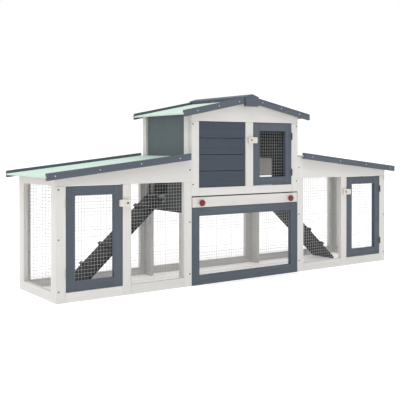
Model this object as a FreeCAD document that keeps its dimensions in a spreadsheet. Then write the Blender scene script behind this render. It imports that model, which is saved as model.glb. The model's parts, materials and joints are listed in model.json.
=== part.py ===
"""Rabbit hutch: a two-storey centre house with a mesh-sided run on each side.

Frame: origin at the middle of the footprint on the ground, +X to the hutch's right as seen by
someone facing its front, -Y towards that person, +Z up.  Millimetres.

The right-hand run is drawn from the sizes in the sheet and the left-hand run is its mirror image.
Boards of one frame are separate solids with a hairline joint between them.
"""
import FreeCAD, Part
import os
import re

import Sketcher
from FreeCAD import Placement, Rotation, Vector

SIZES = (
    # body and boards
    ("body_half", 970, "half length of the body, over the end frames"),
    ("face", 190, "front and rear faces of the body, from the middle"),
    ("board", 20, "thickness of the frame boards"),
    ("joint", 0.2, "hairline joint between two boards"),
    ("mesh", 0.5, "thickness of a wire mesh sheet"),
    ("mesh_lap", 9, "width of mesh stapled over a board"),
    # runs
    ("run_start", 320, "inner edge of a run's front frame"),
    ("run_stile", 41, "inner stile of the front frame"),
    ("bay_in", 630, "inner edge of the mullion"),
    ("door_in", 670, "inner edge of the door bay"),
    ("door_out", 928, "outer edge of the door bay"),
    ("run_rail", 40, "height of the bottom rails"),
    ("run_head", 461, "underside of the tapered top boards"),
    ("end_stile", 30, "width of an end frame's stile"),
    ("rear_stile", 45, "outer stile of a rear frame"),
    ("rear_inner", 25, "inner stile of a run's rear frame"),
    ("rear_rail", 35, "height of the rear bottom rails"),
    # doors
    ("door_gap", 2, "gap round a door"),
    ("door_member", 38, "width of a door's stiles and rails"),
    # house
    ("house_half", 320, "half width of the house front"),
    ("side_in", 310, "inner face of the house's side frames"),
    ("side_out", 340, "outer face of the house's side frames"),
    ("side_front_post", 13, "width of the front batten of a side frame"),
    ("side_rear_post", 10, "width of the rear batten of a side frame"),
    ("side_leg", 52, "width of a leg, below the side panel"),
    ("leg_thick", 15, "thickness of a leg"),
    ("side_recess", 12, "depth of the side panel behind the battens"),
    ("side_panel", 12, "thickness of the side panel"),
    ("side_low", 318, "underside of the side panels and their battens"),
    ("house_stile", 40, "outer stiles of the house front"),
    ("rear_post", 50, "outer stiles of the house rear"),
    ("sill", 397, "underside of the upper front frame"),
    ("sill_top", 433, "top of its bottom rail"),
    ("house_head", 731, "underside of the gable boards"),
    ("centre_left", 10, "centre mullion, left of the middle"),
    ("centre_right", 35, "centre mullion, right of the middle"),
    ("slat_count", 4, "boards in the panel beside the upper door"),
    ("slat_gap", 2, "groove between two of them"),
    ("slat_recess", 5, "set back of the panel"),
    ("slat_thick", 10, "thickness of the panel"),
    ("lower_top", 344, "top of the lower front frame"),
    ("lower_stile", 43, "its stiles"),
    ("lower_rail_top", 307, "underside of its top rail"),
    ("lower_rail", 42, "top of its bottom rail"),
    ("rear_mid_low", 322, "underside of the rear middle rail"),
    ("rear_mid_top", 362, "top of the rear middle rail"),
    ("floor_low", 334, "underside of the floor of the room"),
    ("floor_top", 344, "top of the floor of the room"),
    # doorway and ramp
    ("way_front", -4, "front edge of the doorway"),
    ("way_rear", 156, "rear edge of the doorway"),
    ("way_sill", 395, "sill of the doorway"),
    ("way_head", 559, "head of the doorway"),
    ("ramp_axis_x", 340, "hinge line of the ramp, from the middle"),
    ("ramp_axis_z", 383, "height of the hinge line"),
    ("ramp_slope", 41, "fall of the ramp in degrees"),
    ("ramp_thick", 12, "thickness of the ramp board"),
    ("ramp_start", 7, "top edge of the board, from the hinge line"),
    ("ramp_reach", 576.5, "foot of the board, from the hinge line"),
    ("ramp_side", 2, "gap between the ramp and the doorway's edges"),
    ("cleat_first", 111, "first cleat, from the foot"),
    ("cleat_pitch", 126, "distance between cleats"),
    ("cleat_wide", 15, "width of a cleat"),
    ("cleat_high", 12, "height of a cleat"),
    # tray
    ("tray_low", 346, "underside of the tray front"),
    ("tray_top", 391.5, "top of the tray front"),
    ("tray_half", 316, "half width of the tray front"),
    ("pan_half", 305, "half width of the tray pan"),
    ("pan_rear", 160, "rear of the tray pan"),
    ("pan_low", 345, "underside of the pan"),
    ("pan_top", 388, "rim of the pan"),
    ("pan_wall", 3, "thickness of the pan"),
    ("knob_x", 268, "knobs, from the middle"),
    ("knob_z", 366, "height of the knobs"),
    ("knob_r", 14.5, "radius of a knob"),
    ("knob_neck_r", 8, "radius of its neck"),
    ("knob_neck", 4, "length of its neck"),
    ("knob_deep", 14, "depth of its head"),
    ("knob_round", 7, "rounding of its head"),
    # roofs
    ("wing_tip", 1020, "outer edge of a run's roof"),
    ("wing_tip_top", 513, "top of the fascia there"),
    ("wing_fall", 0.1088, "fall of a run's roof"),
    ("gable_tip", 377, "outer edge of the house roof"),
    ("gable_tip_top", 776, "top of the fascia there"),
    ("gable_fall", 0.2, "fall of the house roof"),
    ("fascia_deep", 29, "height of a fascia"),
    ("fascia_lip", 12, "part of the fascia above the sheet"),
    ("fascia_face", 217, "outer face of the fascias, from the middle"),
    ("fascia_thick", 15, "thickness of a fascia"),
    ("groove", 8, "depth of the groove that holds the sheet"),
    ("sheet", 8, "thickness of a roof sheet"),
    ("roof_gap", 0.5, "gap between a run's roof and the house"),
    ("ridge_half", 39, "half width of the ridge cap"),
    ("ridge_face", 225, "outer faces of the ridge plates"),
    ("ridge_low", 803, "bottom of a ridge plate"),
    ("ridge_shoulder", 848, "its shoulders"),
    ("ridge_peak", 860, "its peak"),
    # hinges
    ("hinge_long", 33, "length of a door hinge"),
    ("leaf_deep", 14, "depth of a leaf's plate in the gap beside the door"),
    ("leaf_thick", 0.8, "thickness of the plate"),
    ("strap_thick", 1.6, "thickness of a ramp bracket's plate"),
    ("knuckle_r", 3, "radius of a knuckle"),
    ("knuckle_out", 3.4, "hinge line, in front of the boards"),
    ("pin_r", 1.5, "radius of a hinge pin"),
    ("pin_fit", 0.05, "running clearance round a pin"),
    ("knuckle_gap", 0.3, "gap between two knuckles"),
    ("hinge_low", 112.5, "height of a run door's lower hinge"),
    ("hinge_high", 391, "height of a run door's upper hinge"),
    ("room_hinge_low", 492, "height of the upper door's lower hinge"),
    ("room_hinge_high", 667, "height of the upper door's upper hinge"),
    # turn buttons
    ("button_tail", 16, "short end of a button, from its screw"),
    ("button_nose", 36, "long end"),
    ("button_high", 28, "height of a button"),
    ("button_thick", 12, "thickness of a button"),
    ("button_round", 4, "rounding of its corners"),
    ("button_gap", 0.3, "gap behind a button and under its screw's head"),
    ("button_x", 653, "screw of a run's button"),
    ("button_z", 383.5, "its height"),
    ("room_button_x", 15, "screw of the upper door's button"),
    ("room_button_z", 647, "its height"),
    ("button_screw_r", 2.5, "radius of a button's screw"),
    ("button_head_r", 4.5, "radius of its head"),
    ("button_head", 2, "height of its head"),
    # fasteners and ramp fittings
    ("screw_r", 3.5, "radius of a frame screw's head"),
    ("screw_head", 1.2, "how proud it stands"),
    ("nail_r", 2.8, "radius of a fascia nail's head"),
    ("nail_head", 0.8, "how proud it stands"),
    ("eye_r", 4, "radius of a ramp hinge's barrel"),
    ("eye_pin_r", 2, "radius of its pin"),
    ("eye_long", 16, "length of its middle barrel"),
    ("eye_side", 8, "length of each barrel beside it"),
    ("eye_inset", 25, "end of a ramp hinge, from the ramp's edge"),
    ("eye_strap", 40, "length of the strap under the ramp"),
    ("eye_strap_thick", 2, "thickness of the strap"),
)

doc = FreeCAD.newDocument("rabbit_hutch")
sheet = doc.addObject("Spreadsheet::Sheet", "Sizes")
for row, (alias, value, meaning) in enumerate(SIZES, start=1):
    sheet.set(f"A{row}", meaning)
    sheet.set(f"B{row}", str(value))
    sheet.setAlias(f"B{row}", alias)
doc.recompute()

ALIASES = {alias for alias, _, _ in SIZES}
VALUES = {alias: float(value) for alias, value, _ in SIZES}
nodes = []


def bound(formula):
    """Turn a formula in the sheet's words into an expression that reads the sheet."""
    return re.sub(r"[a-z][a-z_]*", lambda m: f"Sizes.{m[0]}" if m[0] in ALIASES else m[0], str(formula))


def measure(formula):
    """Return a formula's value in millimetres."""
    return float(doc.getObject("Sizes").evalExpression(bound(formula)))


def place(item, x=0, y=0, z=0):
    """Bind an object's position to the sheet."""
    for axis, formula in zip("xyz", (x, y, z)):
        item.setExpression(f"Placement.Base.{axis}", bound(formula))
    return item


def block(x, y, z):
    """A board or plate between two formulas on each axis."""
    item = doc.addObject("Part::Box", "Block")
    for size, (low, high) in zip(("Length", "Width", "Height"), (x, y, z)):
        item.setExpression(size, bound(f"({high}) - ({low})"))
    return place(item, x[0], y[0], z[0])


def rod(centre, radius, length, along="Z"):
    """A round bar that starts at a point and runs along an axis; "-Y" runs towards the front."""
    item = doc.addObject("Part::Cylinder", "Rod")
    item.setExpression("Radius", bound(radius))
    item.setExpression("Height", bound(length))
    turns = {"Z": Rotation(), "Y": Rotation(Vector(1, 0, 0), -90), "-Y": Rotation(Vector(1, 0, 0), 90)}
    item.Placement = Placement(Vector(), turns[along])
    return place(item, *centre)


def origin_plane(body, role):
    """The body's own origin plane with that role."""
    return next(f for f in body.Origin.OriginFeatures if f.Role == role)


def front_sketch(body, name):
    """A sketch on the body's XZ plane: it looks at the hutch's front, and its normal is -Y."""
    sketch = body.newObject("Sketcher::SketchObject", name)
    sketch.AttachmentSupport = [(origin_plane(body, "XZ_Plane"), "")]
    sketch.MapMode = "FlatFace"
    return sketch


def pin_vertex(sketch, line, x, z):
    """Hold the start of a line at two formulas, or on an axis where a formula is zero."""
    for kind, axis, formula in (("DistanceX", -2, x), ("DistanceY", -1, z)):
        size = measure(formula)
        if abs(size) < 1e-6:
            sketch.addConstraint(Sketcher.Constraint("PointOnObject", line, 1, axis))
            continue
        index = sketch.addConstraint(Sketcher.Constraint(kind, -1, 1, line, 1, size))
        sketch.setExpression(f"Constraints[{index}]", bound(formula))


def panel(points, y, x0="0", z0="0"):
    """A flat piece with a straight-sided outline in X and Z, between two formulas in Y.

    The points are measured from the corner (x0, z0).
    """
    body = doc.addObject("PartDesign::Body", "Panel")
    sketch = front_sketch(body, "Outline")
    corners = [Vector(measure(px), measure(pz), 0) for px, pz in points]
    for start, end in zip(corners, corners[1:] + corners[:1]):
        sketch.addGeometry(Part.LineSegment(start, end), False)
    for line in range(len(corners)):
        following = (line + 1) % len(corners)
        sketch.addConstraint(Sketcher.Constraint("Coincident", line, 2, following, 1))
    for line, (px, pz) in enumerate(points):
        pin_vertex(sketch, line, px, pz)
    pad = body.newObject("PartDesign::Pad", "Thickness")
    pad.Profile = sketch
    pad.Reversed = True
    pad.setExpression("Length", bound(f"({y[1]}) - ({y[0]})"))
    return place(body, x0, y[0], z0)


def cut(base, tool):
    """The base with the tool taken out of it."""
    item = doc.addObject("Part::Cut", "Cut")
    item.Base, item.Tool = base, tool
    return item


def join(pieces):
    """One solid from several that touch."""
    item = doc.addObject("Part::MultiFuse", "Joined")
    item.Shapes = pieces
    return item


def group(pieces):
    """Separate solids kept together."""
    item = doc.addObject("Part::Compound", "Group")
    item.Links = pieces
    return item


def mirror(source, normal=Vector(1, 0, 0)):
    """The mirror image across the middle of the hutch."""
    item = doc.addObject("Part::Mirroring", "Mirrored")
    item.Source = source
    item.Normal = normal
    return item


def node(label, *pieces):
    """Name a sub-part that is written to a file of its own."""
    item = group(list(pieces))
    item.Label = label
    nodes.append(item)
    return item


def pair(label, *pieces):
    """A right-hand sub-part and its mirror image on the left."""
    right = node(f"right_{label}", *pieces)
    left = mirror(right)
    left.Label = f"left_{label}"
    nodes.append(left)


def both_ends(piece):
    """A piece at the front and its mirror image at the rear."""
    return [piece, mirror(piece, Vector(0, 1, 0))]


def both_sides(piece):
    """A piece on the right and its mirror image on the left."""
    return [piece, mirror(piece)]


def four_boards(x, y, z, stile, low_rail, top_rail):
    """A frame of two stiles and, between them, two rails."""
    inner = (f"{x[0]} + {stile} + joint", f"{x[1]} - {stile} - joint")
    return [
        block((x[0], f"{x[0]} + {stile}"), y, z),
        block((f"{x[1]} - {stile}", x[1]), y, z),
        block(inner, y, (z[0], f"{z[0]} + {low_rail}")),
        block(inner, y, (f"{z[1]} - ({top_rail})", z[1])),
    ]


FRONT = ("-face", "-face + board")
REAR = ("face - board", "face")
BEHIND_FRONT = ("-face + board", "-face + board + mesh")
BEFORE_REAR = ("face - board - mesh", "face - board")


def wing_top(x):
    """Height of a run roof's fascia at a distance from the middle."""
    return f"(wing_tip_top + wing_fall * (wing_tip - ({x})))"


def gable_top(x):
    """Height of the house roof's fascia at a distance from the middle."""
    return f"(gable_tip_top + gable_fall * (gable_tip - ({x})))"


UNDER = "fascia_lip - sheet"  # from the fascia's top down to the underside of the sheet


def under_wing(x):
    """Underside of a run's roof sheet."""
    return f"{wing_top(x)} - {UNDER}"


def under_gable(x):
    """Underside of the house's roof sheet."""
    return f"{gable_top(x)} - {UNDER}"


def top_board(start, y):
    """The tapered board under a run's roof, from an inner edge to the end of the body."""
    base = "run_head + joint"
    points = [
        ("0", "0"),
        (f"body_half - ({start})", "0"),
        (f"body_half - ({start})", f"{under_wing('body_half')} - ({base})"),
        ("0", f"{under_wing(start)} - ({base})"),
    ]
    return panel(points, y, start, base)


def gable_board(half, y):
    """The five-sided board under the house roof."""
    base = "house_head + joint"
    points = [
        ("0", "0"),
        (f"2 * {half}", "0"),
        (f"2 * {half}", f"{under_gable(half)} - ({base})"),
        (half, f"{under_gable('0')} - ({base})"),
        ("0", f"{under_gable(half)} - ({base})"),
    ]
    return panel(points, y, f"-{half}", base)


def mesh_sheet(x, y, z):
    """Mesh that laps over the boards round an opening."""
    return block(
        (f"{x[0]} - mesh_lap", f"{x[1]} + mesh_lap"), y, (f"{z[0]} - mesh_lap", f"{z[1]} + mesh_lap")
    )


# ---------------------------------------------------------------- runs
def build_run_frames():
    """Front, end and rear frames of a run, with their mesh."""
    up = ("0", "run_head")
    low = ("0", "run_rail")
    pair(
        "run_front_frame",
        block(("run_start", "run_start + run_stile"), FRONT, up),
        block(("bay_in", "door_in"), FRONT, up),
        block(("door_out", "body_half"), FRONT, up),
        block(("run_start + run_stile + joint", "bay_in - joint"), FRONT, low),
        block(("door_in + joint", "door_out - joint"), FRONT, low),
        top_board("run_start", FRONT),
    )
    pair(
        "run_front_mesh",
        mesh_sheet(("run_start + run_stile", "bay_in"), BEHIND_FRONT, ("run_rail", "run_head")),
    )
    side = ("body_half - board", "body_half")
    inner = ("-face + board + joint", "face - board - joint")
    between = (f"{inner[0]} + end_stile + joint", f"{inner[1]} - end_stile - joint")
    top = under_wing("body_half")
    pair(
        "end_frame",
        block(side, (inner[0], f"{inner[0]} + end_stile"), ("0", top)),
        block(side, (f"{inner[1]} - end_stile", inner[1]), ("0", top)),
        block(side, between, low),
        block(side, between, ("run_head", top)),
    )
    pair(
        "end_mesh",
        block(
            ("body_half - board - mesh", "body_half - board"),
            (f"{between[0]} - mesh_lap", f"{between[1]} + mesh_lap"),
            ("run_rail - mesh_lap", "run_head + mesh_lap"),
        ),
    )
    rear_opening = ("side_out + rear_inner", "body_half - rear_stile")
    pair(
        "run_rear_frame",
        block(("side_out + joint", "side_out + rear_inner"), REAR, up),
        block(("body_half - rear_stile", "body_half"), REAR, up),
        block(("side_out + rear_inner + joint", "body_half - rear_stile - joint"), REAR, ("0", "rear_rail")),
        top_board("side_out + joint", REAR),
    )
    pair("run_rear_mesh", mesh_sheet(rear_opening, BEFORE_REAR, ("rear_rail", "run_head")))


def build_door(frame_label, mesh_label, x, z, make):
    """A door of four boards with mesh behind it, inside a bay."""
    gap_x = (f"{x[0]} + door_gap", f"{x[1]} - door_gap")
    gap_z = (f"{z[0]} + door_gap", f"{z[1]} - door_gap")
    make(frame_label, *four_boards(gap_x, FRONT, gap_z, "door_member", "door_member - joint", "door_member"))
    clear = "door_member - mesh_lap"
    sheet_x = (f"{gap_x[0]} + {clear}", f"{gap_x[1]} - ({clear})")
    sheet_z = (f"{gap_z[0]} + {clear}", f"{gap_z[1]} - ({clear})")
    make(mesh_label, block(sheet_x, BEHIND_FRONT, sheet_z))


# ---------------------------------------------------------------- hinges and turn buttons
def hinge_leaf(axis_x, middle, side):
    """One leaf of a door hinge: side 1 is the frame's, with the pin, and -1 is the door's."""
    line_y = "-face - knuckle_out"
    third = "(hinge_long / 3)"
    low = f"({middle} - hinge_long / 2)"
    if side > 0:
        turns = [(low, f"{third} - knuckle_gap"), (f"{low} + 2 * {third} + knuckle_gap", f"{third} - knuckle_gap")]
    else:
        turns = [(f"{low} + {third}", third)]
    plate_x = (f"{axis_x} + door_gap / 2 - leaf_thick", f"{axis_x} + door_gap / 2") if side > 0 else (
        f"{axis_x} - door_gap / 2", f"{axis_x} - door_gap / 2 + leaf_thick")
    behind = f"{line_y} + knuckle_r + pin_fit"
    pieces = [block(plate_x, (behind, "-face + leaf_deep"), (low, f"{low} + hinge_long"))]
    for start, length in turns:
        pieces.append(block(plate_x, (f"{line_y} + pin_r", behind), (start, f"{start} + {length}")))
        pieces.append(rod((axis_x, line_y, start), "knuckle_r", length))
    if side > 0:
        pieces.append(rod((axis_x, line_y, low), "pin_r", "hinge_long"))
        return join(pieces)
    bore = rod((axis_x, line_y, f"{low} - 1"), "pin_r + pin_fit", "hinge_long + 2")
    return cut(join(pieces), bore)


def edges_named(shape, test):
    """Names of the edges that pass a test."""
    return [f"Edge{i}" for i, edge in enumerate(shape.Edges, start=1) if test(edge)]


def circle_sketch(body, name, radius, offset="0"):
    """A circle about the body's origin, a distance in front of its XZ plane."""
    sketch = front_sketch(body, name)
    sketch.setExpression("AttachmentOffset.Base.z", bound(offset))
    sketch.addGeometry(Part.Circle(Vector(), Vector(0, 0, 1), measure(radius)), False)
    sketch.addConstraint(Sketcher.Constraint("Coincident", 0, 3, -1, 1))
    index = sketch.addConstraint(Sketcher.Constraint("Radius", 0, measure(radius)))
    sketch.setExpression(f"Constraints[{index}]", bound(radius))
    return sketch


def turn_button(x, z):
    """A wooden button with rounded corners, bored for its screw."""
    body = doc.addObject("PartDesign::Body", "Button")
    sketch = front_sketch(body, "Outline")
    tail, nose, half = measure("button_tail"), measure("button_nose"), measure("button_high / 2")
    corners = [Vector(-tail, -half, 0), Vector(nose, -half, 0), Vector(nose, half, 0), Vector(-tail, half, 0)]
    for start, end in zip(corners, corners[1:] + corners[:1]):
        sketch.addGeometry(Part.LineSegment(start, end), False)
    for line in range(4):
        sketch.addConstraint(Sketcher.Constraint("Coincident", line, 2, (line + 1) % 4, 1))
        sketch.addConstraint(Sketcher.Constraint("Vertical" if line % 2 else "Horizontal", line))
    sizes = (
        ("DistanceX", 0, 1, -1, 1, "button_tail"),
        ("DistanceX", -1, 1, 1, 1, "button_nose"),
        ("DistanceY", 0, 1, -1, 1, "button_high / 2"),
        ("DistanceY", -1, 1, 2, 1, "button_high / 2"),
    )
    for kind, first, first_end, second, second_end, formula in sizes:
        constraint = Sketcher.Constraint(kind, first, first_end, second, second_end, measure(formula))
        sketch.setExpression(f"Constraints[{sketch.addConstraint(constraint)}]", bound(formula))
    pad = body.newObject("PartDesign::Pad", "Thickness")
    pad.Profile = sketch
    pad.setExpression("Length", bound("button_thick"))
    doc.recompute()
    corners_rounded = body.newObject("PartDesign::Fillet", "Corners")
    along_y = edges_named(pad.Shape, lambda e: abs(e.tangentAt(e.FirstParameter).y) > 0.9)
    corners_rounded.Base = (pad, along_y)
    corners_rounded.setExpression("Radius", bound("button_round"))
    doc.recompute()
    before = body.Shape.Volume
    bore = body.newObject("PartDesign::Pocket", "Bore")
    bore.Profile = circle_sketch(body, "BoreCircle", "button_screw_r + pin_fit")
    bore.Type = "ThroughAll"
    bore.Reversed = True
    doc.recompute()
    if body.Shape.Volume > before - 1:
        raise RuntimeError("the button's bore cut nothing")
    return place(body, x, "-face - button_gap", z)


def button_screw(x, z):
    """The screw that a turn button turns on: a plain shank under a round head."""
    reach = "button_thick + 2 * button_gap"
    shank = rod((x, "-face", z), "button_screw_r", f"{reach} + button_head / 2", "-Y")
    head = rod((x, f"-face - ({reach})", z), "button_head_r", "button_head", "-Y")
    return join([shank, head])


def build_doors():
    """Three doors with their hinges, turn buttons and button screws."""
    build_door("run_door_frame", "run_door_mesh", ("door_in", "door_out"), ("run_rail", "run_head"), pair)
    room_x = ("centre_right", "house_half - house_stile")
    build_door("upper_door_frame", "upper_door_mesh", room_x, ("sill_top", "house_head"), node)
    run_axis = "(door_out - door_gap / 2)"
    room_axis = "(house_half - house_stile - door_gap / 2)"
    run_heights = ("hinge_low", "hinge_high")
    room_heights = ("room_hinge_low", "room_hinge_high")
    pair("door_leaves", *(hinge_leaf(run_axis, height, -1) for height in run_heights))
    node("upper_door_leaves", *(hinge_leaf(room_axis, height, -1) for height in room_heights))
    fixed = [hinge_leaf(room_axis, height, 1) for height in room_heights]
    for height in run_heights:
        fixed += both_sides(hinge_leaf(run_axis, height, 1))
    node("frame_leaves", *fixed)
    pair("turn_button", turn_button("button_x", "button_z"))
    node("upper_turn_button", turn_button("room_button_x", "room_button_z"))
    node(
        "button_screws",
        *both_sides(button_screw("button_x", "button_z")),
        button_screw("room_button_x", "room_button_z"),
    )


# ---------------------------------------------------------------- house
def build_house_sides():
    """Side frames on legs, with a recessed panel that has the doorway down to the run."""
    deep = ("side_in", "side_out")
    front = ("-face + board + joint", "-face + board + side_front_post")
    rear = ("face - board - side_rear_post", "face - board - joint")
    top = under_gable("side_out")
    leg_x = ("side_out - leg_thick", "side_out")
    foot = ("0", "side_low - joint")
    pair(
        "side_frame",
        block(deep, front, ("side_low", top)),
        block(deep, rear, ("side_low", top)),
        block(leg_x, (front[0], f"{front[0]} + side_leg"), foot),
        block(leg_x, (f"{rear[1]} - side_leg", rear[1]), foot),
    )
    panel_x = ("side_out - side_recess - side_panel", "side_out - side_recess")
    board = block(panel_x, (f"{front[1]} + joint", f"{rear[0]} - joint"), ("side_low", top))
    doorway = block(
        (f"{panel_x[0]} - 5", f"{panel_x[1]} + 5"), ("way_front", "way_rear"), ("way_sill", "way_head")
    )
    pair("side_panel", cut(board, doorway))


def build_house_front():
    """Upper front frame, boarded panel and lower front frame with its mesh."""
    stile_z = ("sill", "house_head")
    edge = "house_half - house_stile"
    node(
        "house_front_frame",
        *both_sides(block((edge, "house_half"), FRONT, stile_z)),
        block(("-centre_left", "centre_right"), FRONT, ("sill_top + joint", "house_head")),
        block((f"-({edge}) + joint", f"{edge} - joint"), FRONT, ("sill", "sill_top")),
        gable_board("house_half", FRONT),
    )
    span = "(house_head - sill_top)"
    slat_y = ("-face + slat_recess", "-face + slat_recess + slat_thick")
    slat_x = (f"-({edge}) + joint", "-centre_left - joint")
    slats = []
    for index in range(int(VALUES["slat_count"])):
        low = f"sill_top + joint + {index} * {span} / slat_count"
        slats.append(block(slat_x, slat_y, (low, f"{low} + {span} / slat_count - slat_gap")))
    node("slat_panel", *slats)
    lower_x = ("-house_half + joint", "house_half - joint")
    rails = ("lower_rail", "lower_top - lower_rail_top")
    node("lower_front_frame", *four_boards(lower_x, FRONT, ("0", "lower_top"), "lower_stile", *rails))
    opening = ("-house_half + lower_stile", "house_half - lower_stile")
    node("lower_front_mesh", mesh_sheet(opening, BEHIND_FRONT, ("lower_rail", "lower_rail_top")))


def build_house_rear():
    """Rear frame with a solid panel to the room and mesh below it."""
    edge = "side_out - rear_post"
    inner = (f"-({edge}) + joint", f"{edge} - joint")
    node(
        "house_rear_frame",
        *both_sides(block((edge, "side_out"), REAR, ("0", "house_head"))),
        block(inner, REAR, ("0", "rear_rail")),
        block(inner, REAR, ("rear_mid_low", "rear_mid_top")),
        gable_board("side_out", REAR),
    )
    panel_y = ("face - board + 4", "face - board + 4 + slat_thick")
    node("rear_panel", block(inner, panel_y, ("rear_mid_top + joint", "house_head")))
    rear_mesh_x = ("-side_in + 8 + mesh_lap", "side_in - 8 - mesh_lap")
    node("rear_mesh", mesh_sheet(rear_mesh_x, BEFORE_REAR, ("rear_rail", "rear_mid_low")))
    floor_z = ("floor_low", "floor_top")
    floor_x = "side_out - side_recess - side_panel - joint"
    floor_y = ("-face + board + side_front_post + joint", "face - board - side_rear_post - joint")
    main = block((f"-({floor_x})", floor_x), floor_y, floor_z)
    lip = block(("-side_in + joint", "side_in - joint"), ("-face + board + joint", "0"), floor_z)
    node("room_floor", join([main, lip]))


# ---------------------------------------------------------------- tray
def knob(x, z):
    """A domed knob on a short neck."""
    body = doc.addObject("PartDesign::Body", "Knob")
    neck = body.newObject("PartDesign::Pad", "Neck")
    neck.Profile = circle_sketch(body, "NeckCircle", "knob_neck_r")
    neck.setExpression("Length", bound("knob_neck"))
    head = body.newObject("PartDesign::Pad", "Head")
    head.Profile = circle_sketch(body, "HeadCircle", "knob_r", "knob_neck")
    head.setExpression("Length", bound("knob_deep"))
    doc.recompute()
    outer = -measure("knob_neck + knob_deep")
    dome = body.newObject("PartDesign::Fillet", "Dome")
    dome.Base = (head, edges_named(head.Shape, lambda e: abs(e.CenterOfMass.y - outer) < 0.01))
    dome.setExpression("Radius", bound("knob_round"))
    return place(body, x, "-face", z)


def build_tray():
    """Pull-out tray: painted front, two knobs and a shallow pan."""
    node("tray_front", block(("-tray_half", "tray_half"), FRONT, ("tray_low", "tray_top")))
    node("tray_knobs", *both_sides(knob("knob_x", "knob_z")))
    start = "-face + board + joint"
    wall_z = ("pan_low + pan_wall + joint", "pan_top")
    inner_y = (f"{start} + pan_wall + joint", "pan_rear - pan_wall - joint")
    node(
        "tray_pan",
        block(("-pan_half", "pan_half"), (start, "pan_rear"), ("pan_low", "pan_low + pan_wall")),
        block(("-pan_half", "pan_half"), (start, f"{start} + pan_wall"), wall_z),
        block(("-pan_half", "pan_half"), ("pan_rear - pan_wall", "pan_rear"), wall_z),
        *both_sides(block(("pan_half - pan_wall", "pan_half"), inner_y, wall_z)),
    )


# ---------------------------------------------------------------- ramps
def on_slope(pieces):
    """Lay pieces that are drawn level about the hinge line on the ramp's slope."""
    item = group(pieces)
    item.Placement = Placement(Vector(), Rotation(Vector(0, 1, 0), VALUES["ramp_slope"]))
    item.setExpression("Placement.Rotation.Angle", bound("ramp_slope"))
    return place(item, "ramp_axis_x", "0", "ramp_axis_z")


def build_ramps():
    """Ramps with cleats, hung on barrel hinges below each doorway's sill."""
    across = ("way_front + ramp_side", "way_rear - ramp_side")
    half = "ramp_thick / 2"
    pair("ramp_board", on_slope([block(("ramp_start", "ramp_reach"), across, (f"-{half}", half))]))
    cleats = []
    run = "ramp_reach - cleat_first"
    count = int((VALUES["ramp_reach"] - VALUES["cleat_first"]) / VALUES["cleat_pitch"]) + 1
    for index in range(count):
        end = f"{run} - {index} * cleat_pitch"
        cleats.append(block((f"{end} - cleat_wide", end), across, (half, f"{half} + cleat_high")))
    pair("ramp_cleats", on_slope(cleats))
    straps = []
    brackets = []
    back = "side_out - side_recess"
    for low in (f"{across[0]} + eye_inset", f"{across[1]} - eye_inset - eye_long"):
        under = (f"-{half} - eye_strap_thick", f"-{half}")
        neck = block(("0", "ramp_start - joint"), (low, f"{low} + eye_long"), (f"-{half} + joint", "eye_r - 2"))
        strap = block(("2", "eye_strap"), (low, f"{low} + eye_long"), under)
        web = block(("2", "ramp_start - joint"), (low, f"{low} + eye_long"), (under[0], "0"))
        barrel = rod(("0", low, "0"), "eye_r", "eye_long", "Y")
        bore = rod(("0", f"{low} - 1", "0"), "eye_pin_r + pin_fit", "eye_long + 2", "Y")
        straps.append(cut(join([barrel, neck, web, strap]), bore))
        outer = [
            rod(("ramp_axis_x", f"{low} - knuckle_gap - eye_side", "ramp_axis_z"), "eye_r", "eye_side", "Y"),
            rod(("ramp_axis_x", f"{low} + eye_long + knuckle_gap", "ramp_axis_z"), "eye_r", "eye_side", "Y"),
            rod(
                ("ramp_axis_x", f"{low} - knuckle_gap - eye_side", "ramp_axis_z"),
                "eye_pin_r", "eye_long + 2 * (knuckle_gap + eye_side)", "Y",
            ),
        ]
        for start in (f"{low} - knuckle_gap - eye_side", f"{low} + eye_long + knuckle_gap"):
            arm_y = (start, f"{start} + eye_side")
            outer.append(block((back, "ramp_axis_x"), arm_y, ("ramp_axis_z - 2", "ramp_axis_z + 2")))
        whole_y = (f"{low} - knuckle_gap - eye_side", f"{low} + eye_long + knuckle_gap + eye_side")
        outer.append(block((back, f"{back} + strap_thick"), whole_y, ("ramp_axis_z - 26", "ramp_axis_z + 8")))
        brackets.append(join(outer))
    pair("ramp_straps", on_slope(straps))
    node("ramp_brackets", *[half_set for bracket in brackets for half_set in both_sides(bracket)])


# ---------------------------------------------------------------- roofs
def sloping_strip(top, low_x, high_x, drop_from, drop_to, y):
    """A strip that follows a roof: between two depths below its fascia's top line."""
    base = "run_head"
    points = [
        ("0", f"{top(low_x)} - ({drop_to}) - {base}"),
        (f"{high_x} - ({low_x})", f"{top(high_x)} - ({drop_to}) - {base}"),
        (f"{high_x} - ({low_x})", f"{top(high_x)} - ({drop_from}) - {base}"),
        ("0", f"{top(low_x)} - ({drop_from}) - {base}"),
    ]
    return panel(points, y, low_x, base)


def fascia(top, low_x, high_x):
    """A front fascia, grooved along its inner face for the roof sheet."""
    inner = "-fascia_face + fascia_thick"
    body = sloping_strip(top, low_x, high_x, "0", "fascia_deep", ("-fascia_face", inner))
    tool_y = (f"{inner} - groove", f"{inner} + 1")
    tool = sloping_strip(top, f"{low_x} - 1", f"{high_x} + 1", "fascia_lip", "fascia_lip + sheet", tool_y)
    return cut(body, tool)


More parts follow.
